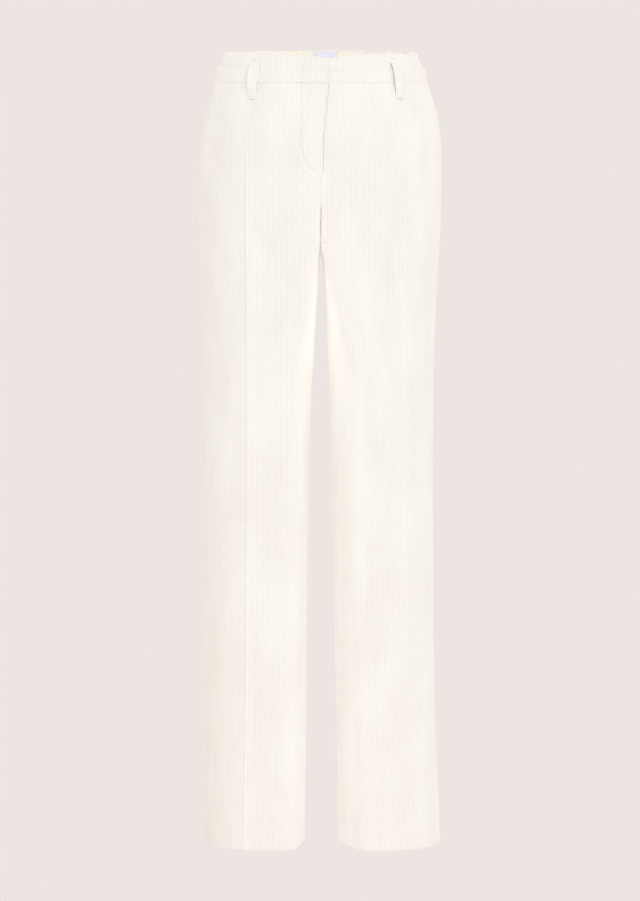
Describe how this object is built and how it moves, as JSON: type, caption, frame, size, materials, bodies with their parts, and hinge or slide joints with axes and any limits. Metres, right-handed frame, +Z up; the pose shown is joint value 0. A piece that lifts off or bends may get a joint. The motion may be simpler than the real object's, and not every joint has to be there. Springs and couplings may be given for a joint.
{
  "type": "corduroy trousers",
  "caption": "Straight-legged wide-wale corduroy trousers, filled out as if worn, with a lapped fly front, belt loops, slanted side pockets and pressed creases.",
  "frame": {"origin": "middle of the waist, level with the middle of the waistband at the side seams", "axes": "+Z up, the front faces -Y, +X towards the wearer's left"},
  "size_m": [0.3349, 0.2442, 1.1023],
  "materials": {
    "corduroy": "wide-wale cotton corduroy, cream white, soft brushed pile",
    "label": "woven satin, pale blue white"
  },
  "bodies": {
    "root": {"front_right": "corduroy", "front_left": "corduroy", "back_right": "corduroy", "back_left": "corduroy", "waistband_right": "corduroy", "waistband_left": "corduroy", "pocket_facing_right": "corduroy", "pocket_facing_left": "corduroy", "belt_loop_front_right": "corduroy", "belt_loop_front_left": "corduroy", "belt_loop_back_right": "corduroy", "belt_loop_back_left": "corduroy", "label": "label"}
  },
  "joints": []
}
